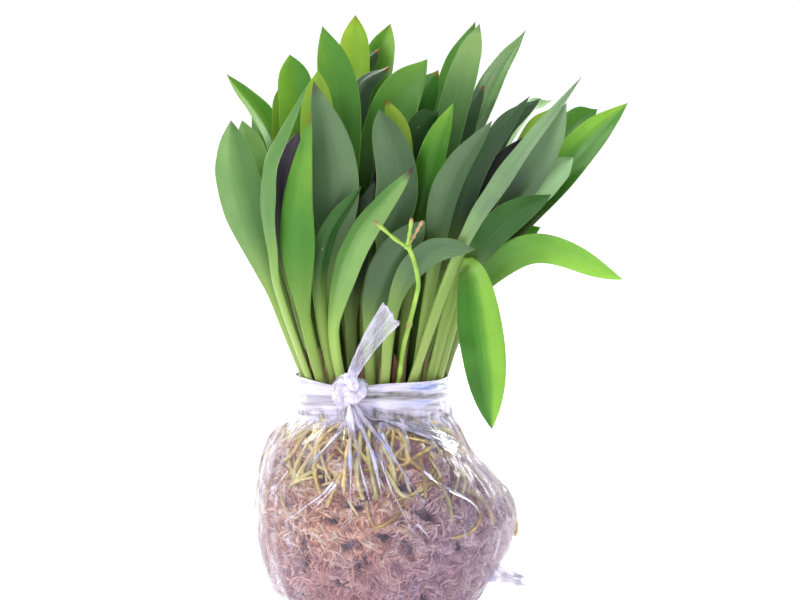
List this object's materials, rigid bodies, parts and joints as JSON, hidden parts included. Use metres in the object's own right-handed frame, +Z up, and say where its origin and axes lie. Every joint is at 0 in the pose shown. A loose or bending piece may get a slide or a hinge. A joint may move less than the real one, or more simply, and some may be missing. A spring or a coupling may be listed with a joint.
{
  "type": "masdevallia orchid with wrapped root ball",
  "caption": "Leafy clump of masdevallia orchid leaves over a ball of moss and roots that is wrapped in clear film and knotted at the neck.",
  "frame": {"origin": "middle of the flat spot under the wrapped root ball", "axes": "+Z up along the leaves, -Y towards the viewer of the picture, the side with the knot, +X to that viewer's right"},
  "size_m": [0.1874, 0.1381, 0.2742],
  "materials": {
    "leaf_bright": "satin",
    "leaf_grey_green": "satin",
    "leaf_dark": "satin",
    "leaf_yellow_green": "satin",
    "leaf_purple": "satin",
    "stalk": "satin",
    "root": "matte",
    "moss": "matte",
    "film": "gloss"
  },
  "bodies": {
    "root": {"leaf_arching_front": "leaf_grey_green", "leaf_purple_tip_front": "leaf_grey_green", "leaf_front_left_light": "leaf_bright", "leaf_front_middle_grey": "leaf_grey_green", "leaf_long_right": "leaf_grey_green", "leaf_folded_left": "leaf_bright", "leaf_front_curved_dark": "leaf_dark", "leaf_hanging_right": "leaf_bright", "leaf_grey_right_inner": "leaf_grey_green", "leaf_tall_left_centre": "leaf_grey_green", "leaf_big_left": "leaf_grey_green", "leaf_centre_grey": "leaf_grey_green", "leaf_right_yellow_edge": "leaf_grey_green", "leaf_dark_right": "leaf_dark", "leaf_round_centre": "leaf_dark", "leaf_bright_tip_centre": "leaf_bright", "leaf_shaded_centre": "leaf_dark", "leaf_dark_right_low": "leaf_dark", "leaf_drooping_right": "leaf_bright", "leaf_yellow_behind_left": "leaf_yellow_green", "leaf_brown_tip_centre": "leaf_yellow_green", "leaf_purple_left": "leaf_purple", "leaf_black_right": "leaf_purple", "leaf_pale_right": "leaf_grey_green", "leaf_ribbed_dark_centre": "leaf_purple", "leaf_tallest_left": "leaf_bright", "leaf_behind_dark_right": "leaf_dark", "leaf_left_behind_big": "leaf_grey_green", "leaf_big_centre_bright": "leaf_bright", "leaf_dark_sliver_centre": "leaf_dark", "leaf_spotted_upper_right": "leaf_bright", "leaf_far_right_big": "leaf_bright", "leaf_bright_sliver_right": "leaf_yellow_green", "leaf_upper_left_round": "leaf_bright", "leaf_bright_low_right": "leaf_bright", "leaf_brown_tip_upper": "leaf_dark", "leaf_dark_tip_upper": "leaf_dark", "leaf_upper_right_behind": "leaf_bright", "leaf_yellow_sliver_left": "leaf_yellow_green", "leaf_far_left_upper": "leaf_bright", "leaf_right_far_behind": "leaf_bright", "leaf_top_yellow": "leaf_yellow_green", "leaf_small_dark_top": "leaf_dark", "leaf_pale_right_upper": "leaf_grey_green", "leaf_top_pointed": "leaf_bright", "leaf_leaning_upper_right": "leaf_bright", "leaf_small_dark_right": "leaf_dark", "leaf_small_centre_left": "leaf_dark", "leaf_dark_low_left": "leaf_dark", "leaf_back_left": "leaf_bright", "leaf_back_left_low": "leaf_grey_green", "leaf_back_centre": "leaf_bright", "leaf_back_centre_tall": "leaf_bright", "leaf_back_outer": "leaf_grey_green", "leaf_back_right": "leaf_bright", "leaf_back_right_low": "leaf_grey_green", "flower_stalk": "stalk", "rhizome_and_roots": "root", "moss_ball": "moss", "film_bag": "film"}
  },
  "joints": []
}
